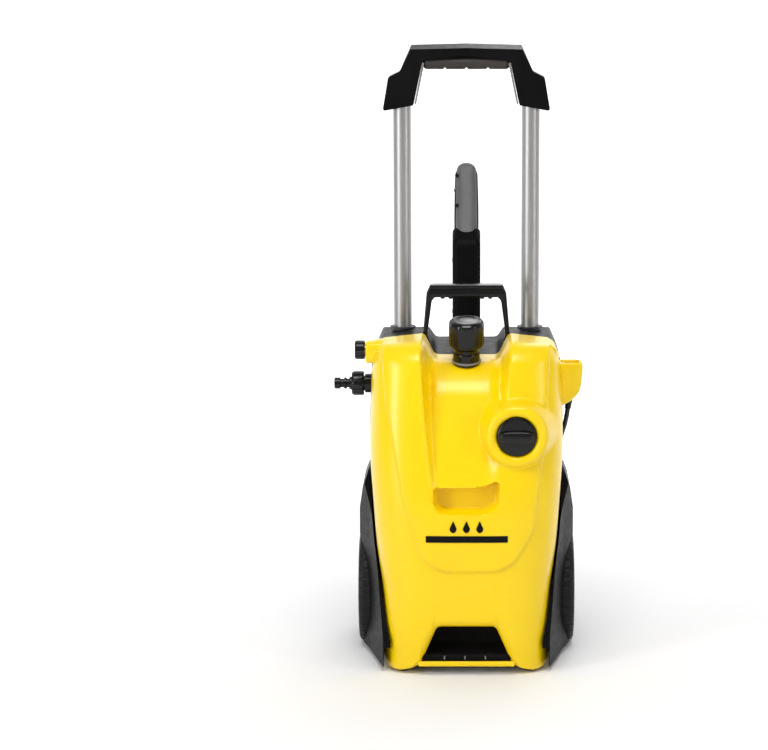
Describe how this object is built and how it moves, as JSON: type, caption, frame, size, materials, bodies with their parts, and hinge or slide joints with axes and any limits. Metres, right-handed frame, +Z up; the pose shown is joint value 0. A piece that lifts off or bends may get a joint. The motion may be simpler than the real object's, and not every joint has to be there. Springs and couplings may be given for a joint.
{
  "type": "pressure washer",
  "caption": "Upright wheeled electric pressure washer with telescopic handle, front switch, trigger gun and lances stored at the back, motor and pump inside.",
  "frame": {"origin": "on the floor, on the mid-plane, 120 mm behind the centres of the front foot pads", "axes": "+Z up, -Y towards the front with the switch, +X to the right side seen from the front"},
  "size_m": [0.3456, 0.4893, 0.849],
  "materials": {
    "cover": "glossy yellow moulded plastic",
    "shell": "satin black moulded plastic",
    "gloss_black": "glossy black plastic",
    "grey_trim": "grey plastic",
    "print_black": "printed black",
    "inner_plastic": "moulded",
    "wheel_plastic": "hard wheel plastic",
    "lance_plastic": "fine-grained black plastic",
    "soft_grip": "soft-touch ribbed",
    "rubber": "moulded rubber",
    "cable_sheath": "sheath",
    "tube_metal": "satin anodised",
    "steel": "turned",
    "laminations": "stacked laminations",
    "copper_wire": "varnished wire",
    "cast_alloy": "die-cast",
    "brass": "turned"
  },
  "bodies": {
    "machine": {"front_housing": "cover", "rear_housing": "shell", "chassis_base": "shell", "lower_grip": "shell", "front_foot_pads": "rubber", "carry_handle": "shell", "hose_hook": "gloss_black", "hook_collar": "grey_trim", "front_stripe": "print_black", "switch_body": "inner_plastic", "outlet_connector": "brass", "inlet_union": "gloss_black", "motor_stator": "laminations", "stator_windings": "copper_wire", "motor_end_shield": "cast_alloy", "motor_mounts": "rubber", "motor_bearings": "steel", "pump_flange": "cast_alloy", "pump_pistons": "steel", "cylinder_head": "cast_alloy", "pressure_switch": "inner_plastic", "water_hoses": "rubber", "capacitor": "inner_plastic", "housing_screws": "steel", "axle": "steel", "axle_clips": "steel", "handle_guides": "inner_plastic", "gun_holder": "shell", "lance_holder": "shell", "cable_gland": "rubber", "mains_cable": "cable_sheath", "cable_coil": "cable_sheath", "mains_plug": "rubber"},
    "switch_knob": {"switch_knob": "gloss_black"},
    "motor_shaft": {"motor_rotor": "laminations", "rotor_shaft": "steel", "swash_plate": "steel"},
    "inlet_coupling": {"inlet_nut": "gloss_black", "inlet_nipple": "gloss_black"},
    "outlet_collar": {"outlet_collar": "gloss_black"},
    "wheel_left": {"tyre_left": "wheel_plastic", "rim_left": "wheel_plastic", "wheel_cap_left": "grey_trim"},
    "wheel_right": {"tyre_right": "wheel_plastic", "rim_right": "wheel_plastic", "wheel_cap_right": "grey_trim"},
    "handle": {"handle_tubes": "tube_metal", "handle_grip": "shell", "handle_grip_pad": "soft_grip"},
    "gun": {"gun_shell": "shell", "gun_grip_pad": "soft_grip", "gun_screws": "steel"},
    "gun_trigger": {"gun_trigger": "grey_trim"},
    "gun_lock": {"gun_lock": "cover"},
    "gun_hose_button": {"gun_hose_button": "cover"},
    "lance_blaster": {"blaster_lance": "lance_plastic", "blaster_nozzle": "lance_plastic"},
    "blaster_rotor": {"blaster_rotor": "brass"},
    "lance_vario": {"vario_lance": "lance_plastic"},
    "vario_sleeve": {"vario_sleeve": "lance_plastic"}
  },
  "joints": [
    {"name": "switch_turn", "type": "hinge", "parent": "machine", "child": "switch_knob", "pos_m": [0.068, -0.14, 0.332], "axis": [0, -1, 0], "range_deg": [-90, 0]},
    {"name": "motor_spin", "type": "hinge", "parent": "machine", "child": "motor_shaft", "pos_m": [0, 0.018, 0.2], "axis": [0, 0, 1], "continuous": true},
    {"name": "inlet_nut_spin", "type": "hinge", "parent": "machine", "child": "inlet_coupling", "pos_m": [-0.15, 0.01, 0.378], "axis": [1, 0, 0], "continuous": true},
    {"name": "outlet_collar_slide", "type": "slide", "parent": "machine", "child": "outlet_collar", "axis": [1, 0, 0], "range_m": [-0.004, 0], "stiffness_N_per_m": 300},
    {"name": "wheel_left_roll", "type": "hinge", "parent": "machine", "child": "wheel_left", "pos_m": [-0.138, 0.04, 0.08], "axis": [1, 0, 0], "continuous": true},
    {"name": "wheel_right_roll", "type": "hinge", "parent": "machine", "child": "wheel_right", "pos_m": [0.138, 0.04, 0.08], "axis": [1, 0, 0], "continuous": true},
    {"name": "handle_slide", "type": "slide", "parent": "machine", "child": "handle", "axis": [0, 0, 1], "range_m": [-0.303, 0]},
    {"name": "gun_lift", "type": "slide", "parent": "machine", "child": "gun", "axis": [0, 0, 1], "range_m": [0, 0.16]},
    {"name": "trigger_pull", "type": "hinge", "parent": "gun", "child": "gun_trigger", "pos_m": [0, 0.2235, 0.54], "axis": [1, 0, 0], "range_deg": [0, 10], "stiffness_Nm_per_rad": 0.6, "springref_deg": -6.88},
    {"name": "gun_lock_slide", "type": "slide", "parent": "gun", "child": "gun_lock", "axis": [0, 0, 1], "range_m": [-0.0005, 0.0025]},
    {"name": "hose_button_press", "type": "slide", "parent": "gun", "child": "gun_hose_button", "axis": [0, 1, 0], "range_m": [0, 0.0008], "stiffness_N_per_m": 400},
    {"name": "blaster_lance_lift", "type": "slide", "parent": "machine", "child": "lance_blaster", "axis": [0, 0, 1], "range_m": [0, 0.12]},
    {"name": "blaster_rotor_spin", "type": "hinge", "parent": "lance_blaster", "child": "blaster_rotor", "pos_m": [0.076, 0.197, 0.39], "axis": [0, 0, 1], "continuous": true},
    {"name": "vario_lance_lift", "type": "slide", "parent": "machine", "child": "lance_vario", "axis": [0, 0, 1], "range_m": [0, 0.12]},
    {"name": "vario_sleeve_twist", "type": "hinge", "parent": "lance_vario", "child": "vario_sleeve", "pos_m": [-0.076, 0.197, 0.3], "axis": [0, 0, 1], "range_deg": [0, 180]}
  ]
}
